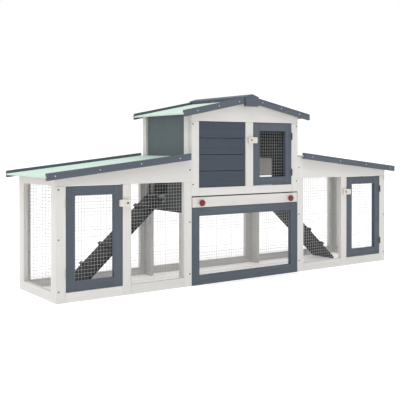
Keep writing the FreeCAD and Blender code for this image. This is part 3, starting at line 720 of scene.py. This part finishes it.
@dataclass
class WireWork:
    """Welded square mesh, and the staples that hold it on the boards."""

    pitch: float = 0.0144
    radius: float = 0.0005
    waver: float = 0.0003
    staple_gap: float = 0.085
    staple_long: float = 0.011
    staple_wire: float = 0.0006
    staple_bite: float = 0.0006
    lap: float = 0.0045
    margin: float = 0.004
    half_sheet: float = 0.00025
    tree: bpy.types.NodeTree | None = field(default=None, init=False)

    def build_tree(self) -> bpy.types.NodeTree:
        """Makes the tree that draws a panel in its own plane.

        Returns:
            The tree.
        """
        kinds = {name: "NodeSocketFloat" for name in ("Width", "Height", "Pitch", "Radius", "Waver")}
        kinds |= {"Seed": "NodeSocketInt", "Finish": "NodeSocketMaterial"}
        tree, nodes, given = new_tree("welded_mesh", kinds)
        upright = self.strands(nodes, given, "Width", "Height", -1.0)
        level = self.strands(nodes, given, "Height", "Width", 1.0)
        inputs = {"Geometry": level, "Rotation": (0.0, 0.0, -math.pi / 2)}
        turn = nodes.add("GeometryNodeTransform", inputs).outputs[0]
        both = nodes.add("GeometryNodeJoinGeometry", {0: upright})
        nodes.tree.links.new(turn, both.inputs[0])
        close_tree(nodes, both.outputs[0], given.outputs["Finish"])
        return tree

    def strands(self, nodes: Nodes, given: bpy.types.Node, across: str, along: str, side: float) -> Socket:
        """Parallel wires, drawn along Y and set out along X.

        Args:
            nodes: the tree's nodes.
            given: its group input.
            across: the input that the wires are set out over.
            along: the input that gives their length.
            side: -1 or 1, which side of the panel's middle plane they lie.

        Returns:
            The wires' geometry.
        """
        pitch, radius = given.outputs["Pitch"], given.outputs["Radius"]
        gaps = nodes.math("FLOOR", nodes.math("DIVIDE", given.outputs[across], pitch))
        reach = nodes.math("MULTIPLY", nodes.math("MULTIPLY", gaps, pitch), -0.5)
        level = nodes.math("MULTIPLY", radius, side)
        first = nodes.add("ShaderNodeCombineXYZ", {0: reach, 2: level}).outputs[0]
        step = nodes.add("ShaderNodeCombineXYZ", {0: pitch}).outputs[0]
        inputs = {"Count": nodes.math("ADD", gaps, 1.0), "Start Location": first, "Offset": step}
        row = nodes.add("GeometryNodeMeshLine", inputs).outputs[0]
        halves = [nodes.math("MULTIPLY", given.outputs[along], share) for share in (-0.5, 0.5)]
        start, end = (nodes.add("ShaderNodeCombineXYZ", {1: half}).outputs[0] for half in halves)
        line = nodes.add("GeometryNodeCurvePrimitiveLine", {"Start": start, "End": end}).outputs[0]
        cells = nodes.math("DIVIDE", given.outputs[along], nodes.math("MULTIPLY", pitch, 2.0))
        inputs = {"Curve": line, "Count": nodes.math("ADD", cells, 2.0)}
        line = nodes.add("GeometryNodeResampleCurve", inputs).outputs[0]
        laid = nodes.add("GeometryNodeInstanceOnPoints", {"Points": row, "Instance": line}).outputs[0]
        laid = nodes.add("GeometryNodeRealizeInstances", {"Geometry": laid}).outputs[0]
        here = nodes.add("GeometryNodeInputPosition").outputs[0]
        seed = nodes.math("MULTIPLY", given.outputs["Seed"], 3.17)
        inputs = {"Vector": here, "W": seed, "Scale": 9.0, "Detail": 1.0}
        drift = nodes.add("ShaderNodeTexNoise", inputs, noise_dimensions="4D").outputs["Color"]
        drift = nodes.vector("SUBTRACT", drift, (0.5, 0.5, 0.5))
        sway = nodes.vector("SCALE", nodes.vector("MULTIPLY", drift, (1.0, 1.0, 0.0)), given.outputs["Waver"])
        laid = nodes.add("GeometryNodeSetPosition", {"Geometry": laid, "Offset": sway}).outputs[0]
        ring = nodes.add("GeometryNodeCurvePrimitiveCircle", {"Resolution": 6, "Radius": radius}).outputs[0]
        inputs = {"Curve": laid, "Profile Curve": ring, "Fill Caps": True}
        return nodes.add("GeometryNodeCurveToMesh", inputs).outputs[0]

    def panel(self, node: str, finish: Finish, seed: int) -> Piece:
        """Wire mesh in the place of one flat sheet of the part.

        Args:
            node: the sheet.
            finish: the wire's material.
            seed: which of many slightly uneven sheets this one is.

        Returns:
            The finished piece.
        """
        self.tree = self.tree or self.build_tree()
        low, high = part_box(node)
        size, middle = high - low, (low + high) / 2
        plane = Plane.ACROSS if size.y < size.x else Plane.ENDWISE
        width = size.x if plane is Plane.ACROSS else size.y
        sizes = {"Width": width - self.margin, "Height": size.z - self.margin, "Pitch": self.pitch}
        sizes |= {"Radius": self.radius, "Waver": self.waver, "Seed": seed, "Finish": finish}
        mesh = grow(self.tree, bpy.data.meshes.new("start"), sizes)
        mesh.transform(self.stand(plane, middle))
        mesh.name = f"{node}_wires"
        for face in mesh.polygons:
            face.use_smooth = True
        return hand_over(put_in_scene(mesh, mesh.name), (node,))

    def stand(self, plane: Plane, middle: Vector) -> Matrix:
        """Stands a drawn panel up, with its front wires against the boards.

        Args:
            plane: how the panel stands.
            middle: the middle of the sheet that it stands for.

        Returns:
            The turn and place.
        """
        flat = 1 if plane is Plane.ACROSS else 0
        inward = -1.0 if middle[flat] > 0 else 1.0
        out = Vector([inward if i == flat else 0.0 for i in range(3)])
        up = Vector((0, 0, 1))
        place = middle + out * (2 * self.radius - self.half_sheet)
        return Matrix.Translation(place) @ Matrix((up.cross(out), up, out)).transposed().to_4x4()

    def staple_spots(self, node: str) -> list[Spot]:
        """Sets staples out round a sheet, on the side away from its boards.

        Args:
            node: the sheet.

        Returns:
            The staples' spots.
        """
        low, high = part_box(node)
        size, middle = high - low, (low + high) / 2
        flat, wide = (1, 0) if size.y < size.x else (0, 1)
        inward = -1.0 if middle[flat] > 0 else 1.0
        facing = Vector([inward if i == flat else 0.0 for i in range(3)])
        face = high[flat] if inward > 0 else low[flat]
        level = face + inward * (4 * self.radius - self.staple_bite)
        spots = []
        for run, cross in ((wide, 2), (2, wide)):
            count = max(2, round(size[run] / self.staple_gap))
            for edge in (low[cross] + self.lap, high[cross] - self.lap):
                for index in range(count):
                    at = Vector((0.0, 0.0, 0.0))
                    at[flat], at[cross] = level, edge
                    at[run] = low[run] + size[run] * (index + 0.5) / count
                    lie = Vector([1.0 if i == run else 0.0 for i in range(3)])
                    spots.append(Spot(at, facing, lie, 1.0))
        return spots


@dataclass
class Fixings:
    """Screw heads, nail heads and staples, each drawn once and repeated."""

    tree: bpy.types.NodeTree | None = field(default=None, init=False)

    def build_tree(self) -> bpy.types.NodeTree:
        """Makes the tree that sets one fitting on every point, turned to face out of the board.

        Returns:
            The tree.
        """
        kinds = {"Fitting": "NodeSocketObject", "Turn": "NodeSocketFloat", "Seed": "NodeSocketInt"}
        tree, nodes, given = new_tree("fixings", kinds | {"Finish": "NodeSocketMaterial"})
        drawn = nodes.add("GeometryNodeObjectInfo", {"Object": given.outputs["Fitting"]}).outputs["Geometry"]
        facing, lie, size = (
            nodes.add("GeometryNodeInputNamedAttribute", {"Name": name}, data_type=kind).outputs[0]
            for name, kind in (("facing", "FLOAT_VECTOR"), ("lie", "FLOAT_VECTOR"), ("size", "FLOAT"))
        )
        out = nodes.add("FunctionNodeAlignRotationToVector", {"Vector": facing}, axis="Z").outputs[0]
        inputs = {"Rotation": out, "Vector": lie}
        out = nodes.add("FunctionNodeAlignRotationToVector", inputs, axis="X", pivot_axis="Z").outputs[0]
        back = nodes.math("MULTIPLY", given.outputs["Turn"], -1.0)
        inputs = {2: back, 3: given.outputs["Turn"], "Seed": given.outputs["Seed"]}
        spin = nodes.add("FunctionNodeRandomValue", inputs, data_type="FLOAT").outputs[1]
        inputs = {"Axis": (0.0, 0.0, 1.0), "Angle": spin}
        spin = nodes.add("FunctionNodeAxisAngleToRotation", inputs).outputs[0]
        inputs = {"Rotation": out, "Rotate By": spin}
        out = nodes.add("FunctionNodeRotateRotation", inputs, rotation_space="LOCAL").outputs[0]
        inputs = {"Points": given.outputs[0], "Instance": drawn, "Rotation": out, "Scale": size}
        set_out = nodes.add("GeometryNodeInstanceOnPoints", inputs).outputs[0]
        close_tree(nodes, set_out, given.outputs["Finish"])
        return tree

    def lay(
        self, name: str, fitting: Piece, spots: list[Spot], finish: Finish, turn: float
    ) -> Piece:
        """Sets a fitting on every spot.

        Args:
            name: the piece's name.
            fitting: the drawn fitting, facing +Z at the origin.
            spots: where each one goes.
            finish: the material.
            turn: the most that one may be turned either way.

        Returns:
            The piece, not yet on a body.
        """
        self.tree = self.tree or self.build_tree()
        start = bpy.data.meshes.new(f"{name}_spots")
        start.from_pydata([spot.at for spot in spots], [], [])
        for label in ("facing", "lie"):
            values = start.attributes.new(label, "FLOAT_VECTOR", "POINT")
            values.data.foreach_set("vector", [c for spot in spots for c in getattr(spot, label)])
        sizes = start.attributes.new("size", "FLOAT", "POINT")
        sizes.data.foreach_set("value", [spot.size for spot in spots])
        given = {"Fitting": fitting, "Turn": turn, "Seed": len(spots), "Finish": finish}
        mesh = grow(self.tree, start, given)
        mesh.name = name
        return put_in_scene(mesh, name)

    def head_spots(self, node: str) -> list[Spot]:
        """Finds the small round heads in a node.

        Args:
            node: the node.

        Returns:
            One spot for each head, sized by its radius.
        """
        shape, spots = solid_copy(node), []
        for island in islands_of(shape):
            low, high = limits([v.co for v in island])
            size, middle = high - low, (low + high) / 2
            thin = min(range(3), key=lambda i: size[i])
            side = 1.0 if middle[thin] > 0 else -1.0
            facing = Vector([side if i == thin else 0.0 for i in range(3)])
            middle[thin] = low[thin] if side > 0 else high[thin]
            spots.append(Spot(middle, facing, Vector((0, 0, 1)), max(size) / 2))
        shape.free()
        return spots


def bridge(shape: Shape, rings: list[list[bmesh.types.BMVert]]) -> None:
    """Joins each ring to the next with faces.

    Args:
        shape: the shape that the rings are in.
        rings: the rings, in order.
    """
    for lower, upper in zip(rings, rings[1:]):
        for i in range(len(lower)):
            j = (i + 1) % len(lower)
            shape.faces.new((lower[i], lower[j], upper[j], upper[i]))


def turned(profile: list[tuple[float, float]], count: int) -> Shape:
    """Makes a closed shape turned round Z.

    Args:
        profile: radius and height of each ring, from the bottom, with both ends open.
        count: faces round it.

    Returns:
        The shape.
    """
    shape = bmesh.new()
    rings = []
    for radius, height in profile:
        angles = [2 * math.pi * i / count for i in range(count)]
        rings.append([shape.verts.new((radius * math.cos(a), radius * math.sin(a), height)) for a in angles])
    bridge(shape, rings)
    shape.faces.new(list(reversed(rings[0])))
    shape.faces.new(rings[-1])
    return shape


def draw_fitting(shape: Shape, name: str) -> Piece:
    """Makes an object for a tree to repeat; it isn't in the scene.

    Args:
        shape: the fitting's shape, which is used up.
        name: its name.

    Returns:
        The object.
    """
    bmesh.ops.recalc_face_normals(shape, faces=shape.faces)
    mesh = bpy.data.meshes.new(name)
    shape.to_mesh(mesh)
    shape.free()
    return bpy.data.objects.new(name, mesh)


def screw_head(count: int = 16) -> Piece:
    """Draws a domed screw head of radius 1 with a cross recess, facing +Z.

    Args:
        count: corners round it, four to each arm of the cross.

    Returns:
        The fitting.
    """
    shape = turned([(0.96, 0.0), (1.0, 0.10), (0.86, 0.26), (0.62, 0.33)], count)
    shape.faces.remove(max(shape.faces, key=lambda f: f.calc_center_median().z))
    shape.verts.ensure_lookup_table()
    levels = [shape.verts[-count:]]
    for share, height in ((1.0, 0.33), (0.72, -0.10)):
        ring = []
        for i in range(count):
            angle = 2 * math.pi * (i + 0.5) / count
            reach = (0.52 if i % 4 in (0, 3) else 0.20) * share
            ring.append(shape.verts.new((reach * math.cos(angle), reach * math.sin(angle), height)))
        levels.append(ring)
    bridge(shape, levels)
    shape.faces.new(levels[-1])
    return draw_fitting(shape, "screw_head")


def nail_head() -> Piece:
    """A flat nail head of radius 1, slightly dished at the middle, facing +Z."""
    profile = [(0.97, 0.0), (1.0, 0.08), (0.94, 0.22), (0.7, 0.27), (0.3, 0.24)]
    return draw_fitting(turned(profile, 14), "nail_head")


def staple(length: float, wire: float) -> Piece:
    """Draws a staple's crown, with its ends turned down into the board, facing +Z.

    Args:
        length: how long the crown is.
        wire: how thick its wire is.

    Returns:
        The fitting.
    """
    shape = bmesh.new()
    half = length / 2
    path = [(-half, -wire * 2), (-half, 0.0), (-half + wire, wire)]
    path += [(-x, z) for x, z in reversed(path)]
    corners = ((-1, -1), (1, -1), (1, 1), (-1, 1))
    rings = [
        [shape.verts.new((x, s * wire * 0.7, z + r * wire * 0.6)) for s, r in corners] for x, z in path
    ]
    bridge(shape, rings)
    shape.faces.new(rings[0])
    shape.faces.new(rings[-1])
    return draw_fitting(shape, "staple")


# ---------------------------------------------------------------- sub-assemblies
@dataclass
class Kit:
    """What every sub-assembly works with, and how boards and fittings are finished."""

    finish: dict[str, Finish]
    ease: float = 0.0011
    fitted_ease: float = 0.0003
    felt_ease: float = 0.0022
    board_crease: float = math.radians(25)
    fitted_crease: float = math.radians(40)
    smooth_below: float = math.radians(38)
    wires: WireWork = field(default_factory=WireWork)
    fixings: Fixings = field(default_factory=Fixings)
    screw: Piece = field(default_factory=screw_head)
    nail: Piece = field(default_factory=nail_head)

    def boards(self, finish: str, slot: Slot, *nodes: str, ease: float = 0.0) -> Piece:
        """Makes boards with eased edges and grain of their own.

        Args:
            finish: their finish's name.
            slot: the slot it comes from; not used.
            nodes: the nodes they stand for, on one body.
            ease: the rounding of their edges, where it isn't the usual one.

        Returns:
            The finished piece.
        """
        shape = solid_copy(*nodes)
        ease_edges(shape, ease or self.ease, 2, self.board_crease)
        write_grain(shape, random.Random(nodes[0]))
        return hand_over(to_object(shape, f"{nodes[0]}_boards", self.finish[finish]), nodes)

    def two_faced(
        self, slot: Slot, node: str, finishes: tuple[str, str], inward: Triple, ease: float
    ) -> Piece:
        """Makes a board with a finish of its own on the face that looks inward.

        Args:
            slot: the slot of the outer finish; not used.
            node: the node it stands for.
            finishes: the finish outside and on the edges, and that of the inward face.
            inward: the way that face looks.
            ease: the rounding of its edges.

        Returns:
            The finished piece.
        """
        shape = solid_copy(node)
        ease_edges(shape, ease, 3, self.board_crease)
        write_grain(shape, random.Random(node))
        shape.normal_update()
        for face in shape.faces:
            face.material_index = int(face.normal.dot(Vector(inward)) > 0.7)
        piece = to_object(shape, f"{node}_two_faced", *(self.finish[name] for name in finishes))
        return hand_over(piece, (node,))

    def roof_sheet(self, node: str) -> Piece:
        """A roof sheet with felt on its top and edges and bare boarding under it."""
        return self.two_faced(Slot.ROOF, node, ("felt", "under"), (0.0, 0.0, -1.0), self.felt_ease)

    def fitted(self, finish: str, slot: Slot, *nodes: str, ease: float = 0.0) -> Piece:
        """Makes metal or moulded parts, with smooth curves and broken edges.

        Args:
            finish: their finish's name.
            slot: the slot it comes from; not used.
            nodes: the nodes they stand for, on one body.
            ease: the rounding of their edges, where it isn't the usual one.

        Returns:
            The finished piece.
        """
        shape = solid_copy(*nodes)
        for face in shape.faces:
            face.smooth = True
        ease_edges(shape, ease or self.fitted_ease, 2, self.fitted_crease)
        write_grain(shape, random.Random(nodes[0]))
        piece = to_object(shape, f"{nodes[0]}_fitted", self.finish[finish])
        piece.data.set_sharp_from_angle(angle=self.smooth_below)
        return hand_over(piece, nodes)

    def mesh(self, *nodes: str) -> None:
        """Makes the wire mesh for each sheet, and its staples.

        Args:
            nodes: the sheets.
        """
        crown = staple(self.wires.staple_long, self.wires.staple_wire)
        for node in nodes:
            self.wires.panel(node, self.finish["wire"], sum(map(ord, node)))
            spots = self.wires.staple_spots(node)
            piece = self.fixings.lay(f"{node}_staples", crown, spots, self.finish["steel"], 0.12)
            hand_over(piece, (), body_of(node))


@dataclass
class Runs:
    """The two mesh-sided runs: frames, mesh and roofs."""

    kit: Kit

    def build(self) -> None:
        """Builds both runs."""
        for side in SIDES:
            for frame_name in ("run_front_frame", "end_frame", "run_rear_frame"):
                self.kit.boards("white", Slot.WHITE, f"{side}_{frame_name}")
            self.kit.mesh(*(f"{side}_{name}" for name in ("run_front_mesh", "end_mesh", "run_rear_mesh")))
            self.kit.boards("grey", Slot.GREY, f"{side}_run_roof_fascias")
            self.kit.roof_sheet(f"{side}_run_roof_sheet")


@dataclass
class House:
    """The raised house: fronts, sides, rear, floor and roof."""

    kit: Kit
    panel_round: float = 0.0011
    cap_round: float = 0.0016

    def build(self) -> None:
        """Builds the fixed joinery and mesh of the house."""
        for name in ("house_front_frame", "house_rear_frame"):
            self.kit.boards("white", Slot.WHITE, name)
        self.kit.boards("under", Slot.WOOD, "room_floor")
        self.kit.boards("slats", Slot.GREY, "slat_panel")
        for name in ("lower_front_frame", "house_front_fascias", "house_rear_fascias"):
            self.kit.boards("grey", Slot.GREY, name)
        # the rear panel's inward face carries painted shade
        self.kit.two_faced(Slot.GREY, "rear_panel", ("grey", "inside"), (0.0, -1.0, 0.0), self.panel_round)
        for side in SIDES:
            self.kit.boards("white", Slot.WHITE, f"{side}_side_frame")
            inward = (1.0 if side == "left" else -1.0, 0.0, 0.0)
            # each side panel's inward face carries painted shade
            panel_and_room_shade = ("panel", "inside")
            self.kit.two_faced(Slot.GREY, f"{side}_side_panel", panel_and_room_shade, inward, self.panel_round)
            self.kit.roof_sheet(f"{side}_house_roof_sheet")
        self.kit.mesh("lower_front_mesh", "rear_mesh")
        self.kit.boards("grey", Slot.GREY, "ridge_cap", ease=self.cap_round)
        self.kit.boards("grey", Slot.GREY, "ridge_plates")


@dataclass
class MeshDoor:
    """A mesh door with its hinges and turn button."""

    kit: Kit
    door: str
    side: str
    button_round: float = 0.0008

    def build(self) -> None:
        """Builds the door on its own body, and its button on another."""
        self.kit.boards("grey", Slot.GREY, f"{self.door}_frame")
        self.kit.mesh(f"{self.door}_mesh")
        self.kit.fitted("hinge", Slot.STEEL, f"{self.side}_door_leaves")
        self.kit.fitted("bare", Slot.WOOD, f"{self.side}_turn_button", ease=self.button_round)


@dataclass
class Tray:
    """The pull-out tray with its two turned knobs."""

    kit: Kit
    radius: float = 0.0145
    neck: float = 0.008
    pan_round: float = 0.0006

    def build(self) -> None:
        """Builds the tray's front, pan and knobs."""
        self.kit.boards("white", Slot.WHITE, "tray_front")
        self.kit.fitted("tray", Slot.TRAY, "tray_pan", ease=self.pan_round)
        self.knobs()

    def knobs(self) -> None:
        """Two lacquered knobs, turned with a flared neck and a crowned head."""
        r, n = self.radius, self.neck
        low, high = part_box("tray_knobs")
        deep = high.y - low.y
        outline = [(n * 1.15, 0.0), (n, 0.0012), (n * 0.94, 0.0026), (n * 1.1, 0.0040), (r * 0.82, 0.0049)]
        outline += [(r * 0.95, 0.0062), (r, 0.0082), (r, 0.0100), (r * 0.965, 0.0125), (r * 0.88, 0.0147)]
        outline += [(r * 0.72, 0.0164), (r * 0.5, 0.0175), (r * 0.25, deep - 0.0001), (r * 0.08, deep)]
        whole = bmesh.new()
        for sign in (-1, 1):
            one = turned(outline, 32)
            edge = low.x + r if sign < 0 else high.x - r
            place = Matrix.Translation((edge, high.y, (low.z + high.z) / 2))
            bmesh.ops.transform(one, matrix=place @ FACING_FRONT, verts=one.verts)
            part = bpy.data.meshes.new("knob")
            one.to_mesh(part)
            one.free()
            whole.from_mesh(part)
        bmesh.ops.recalc_face_normals(whole, faces=whole.faces)
        for face in whole.faces:
            face.smooth = True
        piece = to_object(whole, "tray_knobs_turned", self.kit.finish["knob"])
        hand_over(piece, ("tray_knobs",))


@dataclass
class Ramps:
    """The two stained ramps with cleats, straps and brackets."""

    kit: Kit
    board_round: float = 0.0016
    cleat_round: float = 0.0018
    nail_r: float = 0.0022
    nail_in: float = 0.022
    nail_turn: float = 3.0

    def build(self) -> None:
        """Builds both ramps and the brackets on the house."""
        self.kit.fitted("steel", Slot.STEEL, "ramp_brackets")
        for side in SIDES:
            self.kit.boards("ramp", Slot.RAMP, f"{side}_ramp_board", ease=self.board_round)
            self.kit.boards("ramp", Slot.RAMP, f"{side}_ramp_cleats", ease=self.cleat_round)
            self.kit.fitted("steel", Slot.STEEL, f"{side}_ramp_straps")
            self.nails(side)

    def nails(self, side: str) -> None:
        """Sets two nails in each cleat, square to the ramp.

        Args:
            side: which ramp.
        """
        shape, spots = solid_copy(f"{side}_ramp_cleats"), []
        for island in islands_of(shape):
            top = max({f for v in island for f in v.link_faces}, key=lambda f: f.normal.z * f.calc_area())
            middle, facing = top.calc_center_median(), top.normal.copy()
            low, high = limits([v.co for v in island])
            for y in (low.y + self.nail_in, high.y - self.nail_in):
                spots.append(Spot(Vector((middle.x, y, middle.z)), facing, Vector((0, 1, 0)), self.nail_r))
        shape.free()
        steel = self.kit.finish["steel"]
        piece = self.kit.fixings.lay(f"{side}_ramp_nails", self.kit.nail, spots, steel, self.nail_turn)
        hand_over(piece, (), f"{side}_ramp")


@dataclass
class Fastenings:
    """Screws, nails and the fixed hinge leaves."""

    kit: Kit
    shank: float = 0.42
    head_deep: float = 0.33
    nail_turn: float = 3.0

    def build(self) -> None:
        """Builds what fastens the fixed boards."""
        kit, fixings = self.kit, self.kit.fixings
        screws = fixings.head_spots("frame_screws")
        piece = fixings.lay("frame_screw_heads", kit.screw, screws, kit.finish["screw"], math.pi)
        hand_over(piece, ("frame_screws",))
        kit.fitted("hinge", Slot.STEEL, "frame_leaves")
        nails = fixings.head_spots("fascia_nails")
        piece = fixings.lay("fascia_nail_heads", kit.nail, nails, kit.finish["nail"], self.nail_turn)
        hand_over(piece, ("fascia_nails",))
        self.button_screws()

    def button_screws(self) -> None:
        """The three screws that the turn buttons pivot on, with crossed heads on plain shanks."""
        spots = []
        shape = solid_copy("button_screws")
        pins = bmesh.new()
        for island in islands_of(shape):
            low, high = limits([v.co for v in island])
            middle = (low + high) / 2
            radius = (high.x - low.x) / 2
            at = Vector((middle.x, low.y + radius * self.head_deep, middle.z))
            spots.append(Spot(at, Vector((0, -1, 0)), Vector((0, 0, 1)), radius))
            depth = high.y - at.y
            place = Matrix.Translation((middle.x, high.y - depth / 2, middle.z)) @ FACING_FRONT
            thick = radius * self.shank
            bmesh.ops.create_cone(
                pins, cap_ends=True, segments=14, radius1=thick, radius2=thick, depth=depth, matrix=place
            )
        shape.free()
        steel = self.kit.finish["screw"]
        heads = self.kit.fixings.lay("button_heads", self.kit.screw, spots, steel, math.pi)
        pins.from_mesh(heads.data)
        bpy.data.objects.remove(heads)
        hand_over(to_object(pins, "button_screws_driven", steel), ("button_screws",))


# ---------------------------------------------------------------- studio
@dataclass(frozen=True)
class Lamp:
    """A soft round lamp that looks at the hutch."""

    name: str
    at: Triple
    size: float
    power: float
    colour: Triple
    look_at: Triple = (0.0, 0.0, 0.35)

    def build(self) -> None:
        """Hangs the lamp."""
        light = bpy.data.lights.new(self.name, "AREA")
        light.shape, light.size, light.energy, light.color = "DISK", self.size, self.power, self.colour
        lamp = bpy.data.objects.new(self.name, light)
        lamp.location = self.at
        way = Vector(self.look_at) - Vector(self.at)
        lamp.rotation_euler = way.to_track_quat("-Z", "Y").to_euler()
        bpy.context.scene.collection.objects.link(lamp)


@dataclass(frozen=True)
class Studio:
    """A pale floor, soft light and the camera."""

    camera_at: Triple = (-2.127, -2.722, 0.613)
    turn_deg: float = -34.2
    tip_deg: float = 0.4
    lens: float = 63.4
    shift: tuple[float, float] = (0.061, -0.119)
    sky: float = 1.0
    sky_front: float = 0.2
    sky_rim: float = 1.05
    sky_top: float = 0.9
    floor_lift: float = 0.32
    floor_size: float = 40.0
    lamps: tuple[Lamp, ...] = (
        Lamp("key", (-2.3, -2.6, 5.3), 2.6, 82.0, (1.0, 0.985, 0.96)),
        Lamp("side", (-4.6, 0.3, 1.7), 2.2, 15.0, (1.0, 0.995, 0.98)),
        Lamp("fill", (2.6, -4.2, 2.6), 3.0, 9.0, (0.95, 0.975, 1.0)),
    )

    def build(self) -> None:
        """Sets up floor, light and camera."""
        self.floor()
        self.background()
        for lamp in self.lamps:
            lamp.build()
        lens = bpy.data.cameras.new("camera")
        lens.lens, lens.sensor_width = self.lens, 36.0
        lens.shift_x, lens.shift_y = self.shift
        camera = bpy.data.objects.new("camera", lens)
        camera.location = self.camera_at
        camera.rotation_euler = (math.radians(90 - self.tip_deg), 0.0, math.radians(self.turn_deg))
        bpy.context.scene.collection.objects.link(camera)
        bpy.context.scene.camera = camera
        bpy.context.scene.view_settings.view_transform = "Standard"

    def floor(self) -> None:
        """A wide matt floor."""
        shape = bmesh.new()
        bmesh.ops.create_grid(shape, x_segments=1, y_segments=1, size=self.floor_size)
        material, nodes, shader = new_material("studio_floor")
        place = nodes.add("ShaderNodeTexCoord").outputs["Object"]
        cloud = nodes.noise(place, (1.0, 1.0, 1.0), 2.0)
        colour = nodes.mix(cloud, shade(250, 250, 249), shade(247, 247, 247))
        nodes.give(shader, {"Base Color": colour, "Roughness": 0.9, "Specular IOR Level": 0.1})
        nodes.give(shader, {"Emission Color": (1.0, 1.0, 1.0, 1.0), "Emission Strength": self.floor_lift})
        to_object(shape, "floor", material)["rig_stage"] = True

    def background(self) -> None:
        """A white surround, brighter behind the hutch than in front of it."""
        world = bpy.data.worlds.new("surround")
        bpy.context.scene.world = world
        world.use_nodes = True
        world.node_tree.nodes.clear()
        nodes = Nodes(world.node_tree)
        way = nodes.add("ShaderNodeTexCoord").outputs["Generated"]
        turn = math.radians(-self.turn_deg)
        ahead = (math.sin(turn), math.cos(turn), 0.0)
        toward = nodes.vector("DOT_PRODUCT", way, ahead, "Value")
        strength = nodes.span(toward, 0.0, 0.8, self.sky_front, self.sky)
        height = nodes.add("ShaderNodeSeparateXYZ", {0: way}).outputs["Z"]
        rim = nodes.span(height, 0.12, 0.32, self.sky_rim, 0.0)
        strength = nodes.math("MAXIMUM", strength, rim)
        strength = nodes.math("ADD", strength, nodes.span(height, 0.3, 0.9, 0.0, self.sky_top))
        light = nodes.add("ShaderNodeBackground", {"Color": (1.0, 1.0, 1.0, 1.0), "Strength": strength})
        nodes.add("ShaderNodeOutputWorld", {"Surface": light.outputs[0]})


def note_size(store: dict[str, list]) -> dict[str, list]:
    """Adds the shown object's box to the sizes.

    Args:
        store: the sizes so far, which are empty before anything is built.

    Returns:
        The same sizes.
    """
    low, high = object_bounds()
    store["cad" if not store else "visual"] = [list(low), list(high)]
    return store


def main() -> None:
    """Builds the hutch's looks in order."""
    logging.basicConfig(level=logging.INFO, format="%(name)s: %(message)s")
    sizes = note_size({})
    kit = Kit(Palette().build())
    Studio().build()
    doors = [MeshDoor(kit, f"{side}_run_door", side) for side in SIDES]
    doors.append(MeshDoor(kit, "upper_door", "upper"))
    for assembly in (House(kit), Runs(kit), *doors, Tray(kit), Ramps(kit), Fastenings(kit)):
        assembly.build()
    note_size(sizes)


if __name__ == "__main__":
    main()
